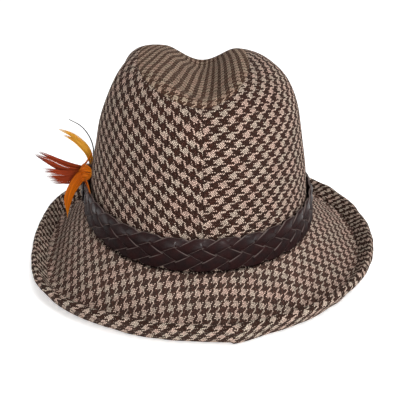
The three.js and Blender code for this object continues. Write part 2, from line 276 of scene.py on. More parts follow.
def mesh_piece(name, points, faces, material, node, corner_uv=None, attributes=None):
    """A smooth-shaded mesh that stands for a CAD node; points are millimetres in the hat's frame."""
    mesh = bpy.data.meshes.new(name)
    mesh.from_pydata(placed(points).tolist(), [], faces)
    if corner_uv is not None:
        layer = mesh.uv_layers.new(name="cloth")
        layer.data.foreach_set("uv", np.asarray(corner_uv, np.float32).ravel())
    for label, values in (attributes or {}).items():
        data = mesh.attributes.new(label, "FLOAT", "POINT").data
        data.foreach_set("value", np.asarray(values, np.float32).ravel())
    mesh.polygons.foreach_set("use_smooth", np.ones(len(mesh.polygons), bool))
    mesh.materials.append(material)
    mesh.update()
    piece = bpy.data.objects.new(name, mesh)
    bpy.context.scene.collection.objects.link(piece)
    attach(piece, "root")
    if node:
        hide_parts(node)
    return piece


def grid_faces(rows, columns, wrap_rows=False, wrap_columns=False):
    """Quads through a grid of points, and each corner's own place in the unwrapped grid."""
    faces = []
    corners = []
    for i in range(rows if wrap_rows else rows - 1):
        for j in range(columns if wrap_columns else columns - 1):
            square = [(i, j), (i + 1, j), (i + 1, j + 1), (i, j + 1)]
            faces.append([(a % rows) * columns + b % columns for a, b in square])
            corners += square
    return faces, np.array(corners)


def cloth_piece(name, sections, pattern, material, node, wrap):
    """A closed shell of cloth: sections [u, row, xyz] are closed loops, pattern its cloth place in mm."""
    rows, columns = sections.shape[:2]
    faces, corners = grid_faces(rows, columns, wrap, True)
    if not wrap:
        faces.append([j for j in range(columns)])
        faces.append([(rows - 1) * columns + j for j in reversed(range(columns))])
    uv = pattern[corners[:, 0], corners[:, 1]] / 1000
    if not wrap:
        ends = np.concatenate([pattern[0, :columns], pattern[rows - 1, :columns][::-1]])
        uv = np.concatenate([uv, ends / 1000])
    return mesh_piece(name, sections.reshape(-1, 3), faces, material, node, uv)


def lengths_along(points):
    """The distance run along the second axis of a grid of points, from its first column."""
    steps = np.linalg.norm(np.diff(points, axis=1), axis=-1)
    return np.concatenate([np.zeros((len(points), 1)), np.cumsum(steps, axis=1)], 1)


def turned(x, y, degrees):
    """Cloth places for a panel whose columns lean by this much from upright."""
    a = math.radians(degrees)
    return np.stack([x * math.cos(a) + y * math.sin(a), y * math.cos(a) - x * math.sin(a)], -1)


def crowded(count, share):
    """Steps from 0 to 1, crowded towards both ends."""
    k = np.linspace(0, 1, count)
    return k - share * np.sin(TAU * k) / TAU


def rounded_edge(distance, radius):
    """How far the face drops back at this distance from a sewn edge."""
    k = np.clip(1 - distance / radius, 0, 1)
    return radius * (1 - np.sqrt(1 - k * k * 0.96))


def unevenness(points, size, height):
    """A smooth random rise and fall over the cloth, as hand shaping leaves it."""
    flat = points.reshape(-1, 3) / size
    return np.array([noise.noise(Vector(p)) for p in flat]).reshape(points.shape[:-1]) * height


# ---- Materials ----------------------------------------------------------------------------


class Graph:
    """Short names for making shader nodes."""

    def __init__(self, name):
        self.material = bpy.data.materials.new(name)
        self.material.use_nodes = True
        self.tree = self.material.node_tree
        self.shader = self.tree.nodes["Principled BSDF"]

    def node(self, kind, inputs=None, **settings):
        made = self.tree.nodes.new("ShaderNode" + kind)
        for key, value in settings.items():
            setattr(made, key, value)
        for key, value in (inputs or {}).items():
            self.feed(made.inputs[key], value)
        return made

    def feed(self, socket, value):
        if isinstance(value, bpy.types.NodeSocket):
            self.tree.links.new(value, socket)
        else:
            socket.default_value = value

    def math(self, operation, *values):
        return self.node("Math", dict(enumerate(values)), operation=operation).outputs[0]

    def mix(self, share, a, b):
        made = self.node("Mix", data_type="RGBA")
        for key, value in ((0, share), (6, a), (7, b)):
            self.feed(made.inputs[key], value)
        return made.outputs[2]

    def noise(self, vector, scale, detail=2.0, roughness=0.5):
        inputs = {"Vector": vector, "Scale": scale, "Detail": detail, "Roughness": roughness}
        return self.node("TexNoise", inputs)

    def remap(self, value, from_low, from_high, to_low, to_high):
        inputs = {0: value, 1: from_low, 2: from_high, 3: to_low, 4: to_high}
        return self.node("MapRange", inputs).outputs[0]

    def bump(self, height, distance, strength=1.0):
        inputs = {"Height": height, "Distance": distance, "Strength": strength}
        self.feed(self.shader.inputs["Normal"], self.node("Bump", inputs).outputs[0])


THREAD = {"across": 0.8, "along": 0.98}  # spacing of the yarns, mm
CHECK = 4  # yarns of one colour in a row
WANDER = {"scale": 160, "reach": 0.0014}  # the yarns stray slowly
FRAY = {"scale": 900, "reach": 0.0007}  # and their edges are ragged
EDGE_SHOWS = 0.28  # how high on a yarn its colour starts to show
DULL_ABOVE = 0.36  # specks that start to show higher than this are also duller
FLECK = {"scale": 1400, "detail": 2.0, "roughness": 0.7}  # stray fibres
WOOL_BUMP = {"distance": 0.0005, "strength": 0.8}


def houndstooth(name, light, dark, stroke, speck):
    """Woven wool: a two-and-two twill with four light and four dark yarns each way.

    stroke and speck say how high on a light yarn, warp or weft, its light starts to show
    where it crosses dark ones.
    """
    g = Graph(name)
    cloth = g.node("UVMap", uv_map="cloth").outputs[0]
    shifted = cloth
    for stray in (WANDER, FRAY):
        wobble = g.noise(cloth, stray["scale"], 2.0).outputs[1]
        centred = g.node("VectorMath", {0: wobble, 1: (0.5, 0.5, 0.5)}, operation="SUBTRACT").outputs[0]
        scaled = g.node("VectorMath", {0: centred, 3: stray["reach"]}, operation="SCALE").outputs[0]
        shifted = g.node("VectorMath", {0: shifted, 1: scaled}, operation="ADD").outputs[0]
    split = g.node("SeparateXYZ", {0: shifted})
    x = g.math("MULTIPLY", split.outputs[0], 1000 / THREAD["across"])
    y = g.math("MULTIPLY", split.outputs[1], 1000 / THREAD["along"])
    warp, weft = g.math("FLOOR", x), g.math("FLOOR", y)
    warp_across, weft_across = g.math("SUBTRACT", x, warp), g.math("SUBTRACT", y, weft)
    step = g.math("FLOORED_MODULO", g.math("SUBTRACT", warp, weft), 4.0)
    warp_over = g.math("LESS_THAN", step, 1.5)
    warp_light = g.math("LESS_THAN", g.math("FLOORED_MODULO", warp, 2.0 * CHECK), CHECK - 0.5)
    weft_light = g.math("LESS_THAN", g.math("FLOORED_MODULO", weft, 2.0 * CHECK), CHECK - 0.5)

    def choose(first, second):
        return g.node("Mix", {0: warp_over, 2: second, 3: first}).outputs[0]

    top_is_light = choose(warp_light, weft_light)
    under_is_light = choose(weft_light, warp_light)
    across = choose(warp_across, weft_across)
    along = choose(
        g.math("MULTIPLY", g.math("SUBTRACT", weft_across, g.math("SUBTRACT", step, 1.0)), 0.5),
        g.math("MULTIPLY", g.math("ADD", g.math("SUBTRACT", step, 2.0), warp_across), 0.5),
    )
    crown = g.math("SINE", g.math("MULTIPLY", across, math.pi))
    float_rise = g.math("SINE", g.math("MULTIPLY", g.math("FRACT", along), math.pi))
    height = g.math("MULTIPLY", g.math("POWER", crown, 0.7), g.math("MULTIPLY_ADD", float_rise, 0.6, 0.4))

    # A light yarn over a dark one shows only its ridge: the warp as a stroke, the weft as a speck.
    lone = g.math("SUBTRACT", 1.0, under_is_light)
    needed = g.math("MULTIPLY_ADD", lone, choose(stroke, speck), EDGE_SHOWS)
    shows = g.remap(g.math("SUBTRACT", height, needed), -0.06, 0.06, 0, 1)
    dullness = choose(0.0, max(0, speck - DULL_ABOVE) * 1.5)
    dulled = g.math("SUBTRACT", 1.0, g.math("MULTIPLY", lone, dullness))
    is_light = g.math("MULTIPLY", g.math("MULTIPLY", top_is_light, shows), dulled)
    # Painted highlight: a yarn lying over a dark one is painted 15 % brighter, where it stands out.
    painted_lone_yarn_highlight = g.math("MULTIPLY_ADD", lone, 0.15, 1.0)

    yarn_number = choose(warp, g.math("ADD", weft, 517.0))
    yarn = g.node("TexWhiteNoise", {"W": yarn_number}, noise_dimensions="1D").outputs[0]
    fleck = g.noise(cloth, **FLECK).outputs[0]
    cloud = g.noise(cloth, 90, 3.0).outputs[0]
    light_warm = tuple(c * k for c, k in zip(light, (1.04, 0.92, 0.87)))
    light_cool = tuple(c * k for c, k in zip(light, (0.97, 1.0, 0.93)))
    light_colour = g.mix(g.remap(cloud, 0.4, 0.6, 0, 1), (*light_warm, 1), (*light_cool, 1))
    light_colour = g.mix(g.remap(fleck, 0.5, 0.6, 0, 0.8), light_colour, (*dark, 1))
    dark_rust = tuple(c * k for c, k in zip(dark, (1.35, 1.0, 0.95)))
    dark_colour = g.mix(g.remap(yarn, 0.3, 1.0, 0, 0.7), (*dark, 1), (*dark_rust, 1))
    dark_colour = g.mix(g.remap(fleck, 0.58, 0.72, 0, 0.22), dark_colour, (*light, 1))
    tone = g.math("MULTIPLY_ADD", yarn, 0.3, 0.85)
    # Painted shade and highlight: each yarn is painted down to 0.15 of its colour in the grooves and up to
    # 1.32 on its crest.
    ridge = g.remap(height, 0.0, 0.9, 0.15, 1.32)
    # The random yarn tone times the painted highlight and shade.
    yarn_tone_and_painted_shade = g.math("MULTIPLY", g.math("MULTIPLY", tone, painted_lone_yarn_highlight), ridge)
    colour = g.mix(is_light, dark_colour, light_colour)
    colour = g.node("VectorMath", {0: colour, 3: yarn_tone_and_painted_shade}, operation="SCALE").outputs[0]
    g.feed(g.shader.inputs["Base Color"], colour)
    g.shader.inputs["Roughness"].default_value = 0.92
    g.shader.inputs["Specular IOR Level"].default_value = 0.05
    g.shader.inputs["Sheen Weight"].default_value = 0.02
    g.shader.inputs["Sheen Roughness"].default_value = 0.6
    g.shader.inputs["Sheen Tint"].default_value = (0.95, 0.88, 0.82, 1)
    woolly = g.math("MULTIPLY_ADD", fleck, 0.5, height)
    g.bump(woolly, **WOOL_BUMP)
    return g.material


def leather(name, dark, worn):
    """Strand leather: dark and polished, paler where the cut edges have worn."""
    g = Graph(name)
    place = g.node("TexCoord").outputs["Object"]
    edge = g.node("Attribute", attribute_name="edge").outputs["Fac"]
    mottle = g.noise(place, 180, 3.0).outputs[0]
    grain = g.node("TexVoronoi", {"Vector": place, "Scale": 1900.0}, feature="F1").outputs[0]
    redder = tuple(c * k for c, k in zip(dark, (1.8, 1.15, 1.1)))
    colour = g.mix(g.remap(mottle, 0.35, 0.7, 0, 1), (*dark, 1), (*redder, 1))
    colour = g.mix(g.remap(edge, 0.84, 0.93, 0, 0.9), colour, (*worn, 1))
    g.feed(g.shader.inputs["Base Color"], colour)
    g.feed(g.shader.inputs["Roughness"], g.remap(mottle, 0.3, 0.7, 0.4, 0.55))
    g.shader.inputs["Specular IOR Level"].default_value = 0.05
    proud = g.node("Attribute", attribute_name="proud").outputs["Fac"]
    rubbed = g.remap(g.noise(place, 70, 1.0).outputs[0], 0.35, 0.6, 0.3, 1.0)
    g.feed(g.shader.inputs["Coat Weight"], g.math("MULTIPLY", g.math("MULTIPLY", proud, rubbed), 0.75))
    g.shader.inputs["Coat Roughness"].default_value = 0.24
    wrinkles = g.noise(place, 420, 3.0, 0.6).outputs[0]
    g.bump(g.math("MULTIPLY_ADD", wrinkles, 1.5, grain), 0.00022, 0.6)
    return g.material


def barbs(name, root, middle, tip):
    """Feather barbs: colour runs from root to tip and varies from barb to barb."""
    g = Graph(name)
    along = g.node("Attribute", attribute_name="along").outputs["Fac"]
    barb = g.node("Attribute", attribute_name="barb").outputs["Fac"]
    colour = g.mix(g.remap(along, 0.0, 0.45, 0, 1), (*root, 1), (*middle, 1))
    colour = g.mix(g.remap(along, 0.8, 1.0, 0, 1), colour, (*tip, 1))
    tone = g.math("MULTIPLY_ADD", barb, 0.7, 0.65)
    colour = g.node("VectorMath", {0: colour, 3: tone}, operation="SCALE").outputs[0]
    g.feed(g.shader.inputs["Base Color"], colour)
    g.shader.inputs["Roughness"].default_value = 0.5
    g.shader.inputs["Specular IOR Level"].default_value = 0.1
    g.shader.inputs["Sheen Weight"].default_value = 0.01
    g.shader.inputs["Sheen Roughness"].default_value = 0.4
    fine = g.noise(g.node("TexCoord").outputs["Object"], 2500, 2.0).outputs[0]
    g.bump(fine, 0.0001, 0.5)
    return g.material


WOOL_LIGHT = (0.54, 0.42, 0.36)
WOOL_DARK = (0.028, 0.012, 0.008)
# The crown, tip, brim and binding are one cloth. The other pieces' colours differ from the crown's only as
# painted light and shade: lighter light yarns on the brim and binding, darker ones on the tip, and lighter
# dark yarns on the tip and brim.
crown_cloth = houndstooth("crown_houndstooth", WOOL_LIGHT, WOOL_DARK, 0.24, 0.48)
tip_cloth = houndstooth("tip_houndstooth", (0.49, 0.37, 0.29), (0.052, 0.027, 0.017), 0.22, 0.5)
brim_cloth = houndstooth("brim_houndstooth", (0.61, 0.475, 0.41), (0.05, 0.028, 0.021), 0.3, 0.4)
binding_cloth = houndstooth("binding_houndstooth", (0.62, 0.5, 0.43), (0.028, 0.0135, 0.009), 0.22, 0.6)
braid_leather = leather("braid_leather", (0.013, 0.0068, 0.0068), (0.12, 0.09, 0.082))

# ---- The crown ----------------------------------------------------------------------------

SEAM_GAP = 0.06
SEAM_ROUND = {"upright": 0.3, "tip": 0.2}  # radius of the cloth's edge at a seam
CROWN_UNEVEN = {"size": 24, "height": 0.7}
SIDE_TURN = 0.78  # angle that a side panel opens to when it is laid flat
SIDE_GRAIN = {1: 53, -1: 48}  # the lean of the cloth at the back seam, on the left and the right


def crown_side(name, side, material, node):
    """One half of the crown's wall, cut on the bias, from the back seam round to the front seam."""
    front_seam = -QUARTER if side > 0 else -QUARTER + TAU
    run = crowded(190, 0.72)
    u = (BACK_SEAM + (front_seam - BACK_SEAM) * run)[:, None]
    k = crowded(76, 0.6)[None, :]
    q = k * seam_place(u)
    outer = crown_point(u, q)
    normal = crown_normal(u, q)
    up = lengths_along(outer)
    round_foot = foot_point(u[:, 0])[None]
    from_seam = lengths_along(round_foot)[0][:, None]
    half = from_seam[-1]
    to_seam = np.minimum(from_seam, half - from_seam)
    drop = rounded_edge(to_seam, SEAM_ROUND["upright"]) + rounded_edge(up[:, -1:] - up, SEAM_ROUND["tip"])
    outer = outer + normal * (unevenness(outer, **CROWN_UNEVEN) - drop)[..., None]
    inner = crown_point(u, q) - normal * CLOTH
    shift = side * SEAM_GAP / 2 * np.array([1, 0, 0])
    near_back = np.exp(-from_seam / 2)[..., None]
    near_front = np.exp(-(half - from_seam) / 2)[..., None]
    for face in (outer, inner):
        face += shift * (near_back + near_front)
    swing = SIDE_TURN * from_seam / half
    radius = half / SIDE_TURN - up
    x = -side * radius * np.sin(swing)
    y = half / SIDE_TURN - radius * np.cos(swing)
    pattern = turned(x, y, side * SIDE_GRAIN[side])
    sections = np.concatenate([outer, inner[:, ::-1]], 1)
    places = np.concatenate([pattern, pattern[:, ::-1], pattern[:, :1]], 1)
    if side > 0:
        sections, places = sections[::-1], places[::-1]
    return cloth_piece(name, sections, places, material, node, False)


crown_side("crown_side_left_cloth", 1, crown_cloth, "crown_side_left")
crown_side("crown_side_right_cloth", -1, crown_cloth, "crown_side_right")


TIP_CROWDING = 1.32  # the creased tip is gathered, so it takes up this much more cloth
TIP_GRAIN = -4
TIP_FAN = 0.004  # the columns spread towards the back by this much a millimetre
TIP_START = 0.00066  # how far past the seam the tip starts, along the profile
TIP_END = 0.9995  # it stops short of the very middle, where the places all meet


def crease_run(x, y):
    """The length over the crease's surface from its bottom across to x."""
    path = CREASE["x"] + (x - CREASE["x"])[..., None] * np.linspace(0, 1, 33)
    depth = crease_depth(path, y[..., None])
    lengths = np.hypot(np.diff(path), np.diff(depth)).sum(-1)
    return lengths * np.sign(x - CREASE["x"])


def crown_tip():
    """The oval top panel, creased along the middle."""
    u = np.linspace(0, TAU, 260, endpoint=False)[:, None]
    seam = seam_place(u) + TIP_START
    q = seam + (TIP_END - seam) * np.linspace(0, 1, 66)[None, :]
    outer = crown_point(u, q)
    normal = crown_normal(u, q)
    from_edge = lengths_along(outer)
    lift = unevenness(outer, **CROWN_UNEVEN) - rounded_edge(from_edge, SEAM_ROUND["tip"])
    inner = outer - normal * CLOTH
    outer = outer + normal * lift[..., None]
    y = outer[..., 1]
    x = crease_run(outer[..., 0], y) / (1 + TIP_FAN * y)
    pattern = turned(-x, -y, TIP_GRAIN) * TIP_CROWDING
    sections = np.concatenate([outer, inner[:, ::-1]], 1)
    places = np.concatenate([pattern, pattern[:, ::-1], pattern[:, :1]], 1)
    places = np.concatenate([places, places[:1]], 0)
    return cloth_piece("crown_tip_cloth", sections, places, tip_cloth, "crown_tip", True)


crown_tip()

# ---- The brim -----------------------------------------------------------------------------

RING_STEPS = 420
RING = np.linspace(0, TAU, RING_STEPS, endpoint=False)[:, None]
BRIM_GRAIN = 5
BRIM_PULL = [1.07, 0.94]  # how much the cloth was taken in across and let out along
BRIM_UNEVEN = {"size": 30, "height": 0.9}
BRIM_EVEN_FOR = 12  # the unevenness grows over this width from the crown


def brim():
    start, slope, lip, centre = brim_line(RING)
    flat = math.acos(1 - FOLD_FLAT / FOLD_RADIUS)
    foot = on_fold(centre, -slope)
    rows = []
    for k in np.linspace(0, 1, 26)[:-1]:
        rows.append((start[0] + (foot[0] - start[0]) * k, start[1] + (foot[1] - start[1]) * k, -slope))
    for k in np.linspace(0, 1, 7)[:-1]:
        rows.append(on_fold(centre, -slope + (slope - flat) * k))
    for k in np.linspace(0, 1, 5)[:-1]:
        rows.append(on_fold(centre, -flat + 2 * flat * k + 0 * lip))
    for k in np.linspace(0, 1, 12)[:-1]:
        rows.append(on_fold(centre, flat + (lip - flat) * k))
    for k in np.linspace(0, 1, 7):
        rows.append(past_fold(centre, lip, LIP * k))
    lower = np.concatenate([brim_point(RING, row, 0.0) for row in rows], 1)
    upper = np.concatenate([brim_point(RING, row, BRIM_CLOTH) for row in rows], 1)
    upper[:, 0] = lower[:, 0]
    upper[:, 0, 2] += BRIM_CLOTH / np.cos(slope[:, 0])
    slant = lengths_along(upper)
    wave = unevenness(upper, **BRIM_UNEVEN) * smoothstep(0, BRIM_EVEN_FOR, slant)
    upper = upper + np.array([0, 0, 1]) * wave[..., None]
    laid = foot_point(RING) + foot_normal(RING) * slant[..., None]
    pattern = turned(-laid[..., 0], -laid[..., 1], BRIM_GRAIN) * BRIM_PULL
    sections = np.concatenate([lower, upper[:, ::-1]], 1)
    places = np.concatenate([pattern, pattern[:, ::-1], pattern[:, :1]], 1)
    places = np.concatenate([places, places[:1]], 0)
    return cloth_piece("brim_cloth", sections, places, brim_cloth, "brim", True)


brim()

BINDING_JOIN = {"turn": math.radians(99), "rise": 1.1, "fade": 14.0}
BINDING_GRAIN = -30
BINDING_STRETCH = 1.45  # the cloth's length to the ring's at the foot
BINDING_NARROWING = 1.29  # the strip was pulled lengthways, so its cloth is narrower
BINDING_ROUND = 1.2  # radius of its turned-in edges
BINDING_UNEVEN = {"size": 14, "height": 0.7}


def brim_binding():
    """The bias strip wrapped round the brim's edge; its ends lap at the back."""
    _, _, lip, centre = brim_line(RING)
    below = lip - (BINDING["lower"] - LIP) / FOLD_RADIUS
    under_start = np.maximum(below, math.radians(BINDING["lowest"]))
    over_start = lip - (BINDING["upper"] - LIP) / (FOLD_RADIUS - BRIM_CLOTH)
    middle = GAP + BINDING["thickness"] / 2
    half = BINDING["thickness"] / 2
    turns = np.linspace(0, TAU, RING_STEPS + 1)
    ring_length = lengths_along(foot_point(turns)[None])[0][:, None]
    from_join = ring_length[:-1] - np.interp(BINDING_JOIN["turn"], turns, ring_length[:, 0])
    lap = BINDING_JOIN["rise"] * np.where(from_join >= 0, np.exp(-from_join / BINDING_JOIN["fade"]), 0)

    def strip(reach):
        parts = []
        for k in np.linspace(0, 1, 6)[:-1]:
            parts.append(brim_point(RING, on_fold(centre, under_start + (lip - under_start) * k), -reach))
        for k in np.linspace(0, 1, 8)[:-1]:
            parts.append(brim_point(RING, past_fold(centre, lip, LIP * k), -reach))
        end = past_fold(centre, lip, LIP)
        for turn in np.linspace(-QUARTER, QUARTER, 9):
            depth = BRIM_CLOTH / 2 + (BRIM_CLOTH / 2 + reach) * math.sin(turn)
            parts.append(brim_point(RING, end, depth, (GAP + reach) * math.cos(turn)))
        for k in np.linspace(1, 0, 8)[1:]:
            parts.append(brim_point(RING, past_fold(centre, lip, LIP * k), BRIM_CLOTH + reach))
        for k in np.linspace(0, 1, 7)[1:]:
            parts.append(brim_point(RING, on_fold(centre, lip + (over_start - lip) * k), BRIM_CLOTH + reach))
        return np.concatenate(parts, 1)

    outer = strip(middle + half + lap)
    inner = strip(middle - half + 0 * lap)
    from_lower = lengths_along(outer)
    from_upper = lengths_along(outer[:, ::-1])[:, ::-1]
    tuck = rounded_edge(from_lower, BINDING_ROUND) + rounded_edge(from_upper, BINDING_ROUND)
    share = np.clip(tuck / BINDING_ROUND, 0, 0.95)[..., None]
    puff = unevenness(outer, **BINDING_UNEVEN)[..., None] * unit(outer - inner)
    outer = outer + puff * (1 - share) + (inner - outer) * share
    width = lengths_along(outer)
    x = ring_length * BINDING_STRETCH
    y = np.concatenate([width, width[:1]], 0) * BINDING_NARROWING
    pattern = turned(x + 0 * y, y, BINDING_GRAIN)
    sections = np.concatenate([outer, inner[:, ::-1]], 1)
    places = np.concatenate([pattern, pattern[:, ::-1], pattern[:, :1]], 1)
    return cloth_piece("brim_binding_cloth", sections, places, binding_cloth, "brim_binding", True)


brim_binding()

# ---- The braid ----------------------------------------------------------------------------

QUARTERS = 34  # quarter periods of a strand once round the hat
STRAND = {"width": 8.0, "thickness": 1.2, "bulge": 0.3, "dip": 0.6, "tuck": 2.3, "crest": 1.3, "sides": 26}
STRAND_MIDDLE = 2.1  # from the crown to the middle of the braid
STRAND_STEPS = 22  # steps in a quarter period
STRAND_END = 0.004  # a strand thins to its end over this share of the way round
TURN_SHARPNESS = 0.995  # nearer to 1 is a sharper turn at the braid's edges
CREST = {"below_top": 6, "reach": 7}  # where a turn stands out, down from the braid's upper edge
LAP = {"share": BAND_JOIN["spread"] / 360 * 1.3, "lift": BAND_JOIN["swell"] - 1.9}
CROSSINGS = [  # places along one period of a strand, and whether it passes over
    (0.125, 1), (0.25, -1), (0.375, 1), (0.625, -1), (0.75, 1), (0.875, -1),
]


def weave_height(phase):
    """Over or under, from 1 to -1, along a strand."""
    places = [CROSSINGS[-1][0] - 1] + [place for place, _ in CROSSINGS] + [1 + CROSSINGS[0][0]]
    levels = [CROSSINGS[-1][1]] + [level for _, level in CROSSINGS] + [CROSSINGS[0][1]]
    where = phase % 1
    after = np.searchsorted(places, where, side="right")
    after = np.clip(after, 1, len(places) - 1)
    p0, p1 = np.take(places, after - 1), np.take(places, after)
    l0, l1 = np.take(levels, after - 1), np.take(levels, after)
    k = (where - p0) / (p1 - p0)
    return l0 + (l1 - l0) * smoothstep(0.12, 0.88, k)


def strand_swing(phase):
    """From one edge of the braid to the other and back, from -1 to 1, turning in a short curve."""
    return -np.arcsin(TURN_SHARPNESS * np.cos(TAU * phase)) / math.asin(TURN_SHARPNESS)


def braid_line():
    """Places round the hat and the lengths run to them along the middle of the braid."""
    samples = np.linspace(0, TAU, 2001)
    middle = np.full(2001, BAND["height"] / 2)
    line = band_point(samples, middle, np.full(2001, BAND["thickness"] / 2))
    return samples, lengths_along(line[None])[0]


def strand(number, first, last, lift):
    """One strand as a grid of closed loops, from first to last as shares of the way round."""
    samples, run = braid_line()
    total = run[-1]
    period = total / (QUARTERS / 4)
    height, width = BAND["height"], STRAND["width"]
    amplitude = (height - width) / 2 + STRAND["tuck"]
    steepest = math.atan(4 * amplitude / period)
    count = max(int((last - first) * QUARTERS * STRAND_STEPS), 30)
    share = np.linspace(first, last, count)
    phase = share * QUARTERS / 4 + number / 4
    u = math.radians(BAND_JOIN["turn"]) + np.interp(share % 1 * total, run, samples)
    up = height / 2 + amplitude * strand_swing(phase)
    lean = np.arctan(np.gradient(up) / np.gradient(share * total))
    crest = np.clip(-np.cos(TAU * phase), 0, 1) ** 8
    thinned = np.clip((share - first) / STRAND_END, 0, 1) * np.clip((last - share) / STRAND_END, 0, 1)
    ends = np.sqrt(thinned)
    loops, prouds = [], []
    for turn in np.linspace(0, TAU, STRAND["sides"], endpoint=False):
        k = np.sign(math.cos(turn)) * abs(math.cos(turn)) ** 0.5
        face = math.sin(turn)
        offset = k * width / 2
        # A strand dips along the line of the one that it passes under, not square to itself.
        shift = offset * lean / steepest / math.tan(2 * steepest) / period
        level = weave_height(phase + shift)
        dome = np.sign(face) * (1 - abs(k) ** 6) ** 0.5 * STRAND["thickness"] / 2
        out = STRAND["dip"] * level + dome + np.sign(face) * STRAND["bulge"] * (1 - k * k)
        place = up + offset * np.cos(lean)
        from_crest = (place - height + CREST["below_top"]) / CREST["reach"]
        proud = crest * np.clip(1 - from_crest**2, 0, 1)
        out = out + STRAND["crest"] * proud
        turned_by = -offset * np.sin(lean) / total * TAU
        rise = np.clip(place, 0, height)
        loops.append(band_point(u + turned_by, rise, STRAND_MIDDLE + out * ends + lift))
        prouds.append(proud)
    edge = np.abs(np.cos(np.linspace(0, TAU, STRAND["sides"], endpoint=False))) ** 0.5
    return np.stack(loops, 1), np.tile(edge, (count, 1)), np.stack(prouds, 1)


def braid():
    """Four strands round the hat, and the outer end of the braid lapped over the inner one."""
    points, faces, edges, prouds = [], [], [], []
    for first, last, lift in ((0, 1, 0.0), (1 - LAP["share"], 1 + LAP["share"], LAP["lift"])):
        for number in range(4):
            grid, edge, proud = strand(number, first, last, lift)
            loops, _ = grid_faces(*grid.shape[:2], wrap_columns=True)
            faces += [[len(points) + i for i in reversed(face)] for face in loops]
            points += grid.reshape(-1, 3).tolist()
            edges += edge.ravel().tolist()
            prouds += proud.ravel().tolist()
    attributes = {"edge": edges, "proud": prouds}
    return mesh_piece(
        "braid_strands", points, faces, braid_leather, "braided_band",
        attributes=attributes,
    )


braid()

# ---- The feathers -------------------------------------------------------------------------

# Each lock of barbs lies between two edges, both given from root to tip as (across, up) places,
# and runs from one place to another towards the back.
LOCKS = [
    {"feather": "rust", "back": (1, 1), "count": 40, "ragged": 0.1, "cup": 1.5, "fan": -8,
     "upper": [(79, 57.5), (90, 59.8), (99, 62.8), (108, 66.8), (117, 70.8)],
     "lower": [(79, 56), (90, 57), (98, 58.8), (107, 63.2), (116.5, 69)]},
    {"feather": "rust", "back": (2, 2), "count": 56, "ragged": 0.08, "cup": 1.5, "fan": -10,
     "upper": [(80, 56.5), (90, 57), (98, 59.3), (107, 64), (119, 68.6)],
     "lower": [(81, 54), (91, 53), (100, 54), (109.5, 59.3), (119, 67)]},
    {"feather": "rust", "back": (3, 3), "count": 90, "ragged": 0.2, "cup": 2.5, "fan": -16,
     "upper": [(80, 57), (90, 55.5), (98, 55.8), (106, 56.8), (114, 57)],
     "lower": [(82, 54), (88, 49), (94, 45.6), (100, 45.2), (108.5, 44.6)]},
    {"feather": "gold", "back": (-5, -5), "count": 32, "ragged": 0.06, "cup": 0.6, "fan": 6,
     "upper": [(77.8, 56.5), (79, 67.5), (84, 75.5), (92, 82), (102.5, 86)],
     "lower": [(79.4, 56.5), (82, 66), (87.3, 73.3), (94, 79.7), (101.5, 84)]},
    {"feather": "gold", "back": (-4, -4), "count": 26, "ragged": 0.08, "cup": 0.4, "fan": 6,
     "upper": [(79, 56.5), (81.6, 66.5), (86.5, 73.8), (92, 78.4), (98.6, 81.4)],
     "lower": [(80.2, 56.5), (82.8, 65), (87.5, 71.4), (92.6, 76.4), (98.8, 80.3)]},
    {"feather": "orange", "back": (15, 15), "count": 56, "ragged": 0.06, "cup": 1.0, "fan": 8,
     "upper": [(79.5, 63.5), (87.5, 58.5), (94.5, 48.3), (98.2, 37.5), (96.6, 23.5)],
     "lower": [(77.5, 57.5), (84.5, 50.5), (90, 42), (93.4, 33), (96, 23)]},
    {"feather": "orange", "back": (17, 16), "count": 34, "ragged": 0.1, "cup": 0.8, "fan": 8,
     "upper": [(81, 62.5), (88.5, 57), (94.6, 46.5), (97, 36), (96.4, 25)],
     "lower": [(79, 58.5), (86, 52), (91.5, 43.5), (94.3, 34), (96, 24)]},
    {"feather": "orange", "back": (12.5, 12.5), "count": 10, "ragged": 0.05, "cup": 0.3, "fan": 1,
     "upper": [(75, 73.6), (77.3, 69.8), (79.4, 66.4), (81.2, 63.6), (84, 60)],
     "lower": [(75.3, 73.8), (77.9, 70.2), (80.4, 66.6), (83.4, 63), (86.5, 58.5)]},
    {"feather": "orange", "back": (16, 23), "count": 40, "ragged": 0.08, "cup": 0.5, "fan": 3,
     "upper": [(85, 61), (82, 66.5), (79.4, 67), (77, 65.5), (75, 63)],
     "lower": [(85.5, 52), (83, 53), (80.5, 54.5), (77.6, 56.5), (75, 60)]},
    {"feather": "orange", "back": (24, 43), "count": 7, "ragged": 0.06, "cup": 0.3, "fan": 0,
     "upper": [(80.2, 58), (78.2, 57.6), (76.6, 56.2), (75.2, 54.6), (74.3, 53)],
     "lower": [(81.4, 56), (79.6, 56), (77.8, 55), (76, 53.8), (74.8, 52.6)]},
]
FAN_DIRECTION = np.array([0.0, 0.917, 0.4])  # a lock's barbs fan out to the back and up
FEATHER_SEEDS = {"rust": 3, "orange": 5, "gold": 8}
BARB_STEPS = 14
FEATHER_COLOURS = {  # root, middle and tip
    "rust": ((0.4, 0.06, 0.005), (0.3, 0.038, 0.009), (0.12, 0.05, 0.042)),
    "orange": ((0.44, 0.07, 0.0003), (0.56, 0.125, 0.0003), (0.72, 0.27, 0.004)),
    "gold": ((0.76, 0.3, 0.02), (0.8, 0.4, 0.045), (0.62, 0.45, 0.25)),
}


def along_curve(points, k):
    """A smooth curve through evenly timed points (Catmull-Rom)."""
    p = np.array(points, float)
    p = np.concatenate([[2 * p[0] - p[1]], p, [2 * p[-1] - p[-2]]])
    place = np.clip(k, 0, 1) * (len(points) - 1)
    i = np.minimum(place.astype(int), len(points) - 2)
    t = (place - i)[:, None]
    a, b, c, d = p[i], p[i + 1], p[i + 2], p[i + 3]
    return 0.5 * (2 * b + (c - a) * t + (2 * a - 5 * b + 4 * c - d) * t**2 + (3 * b - a - 3 * c + d) * t**3)


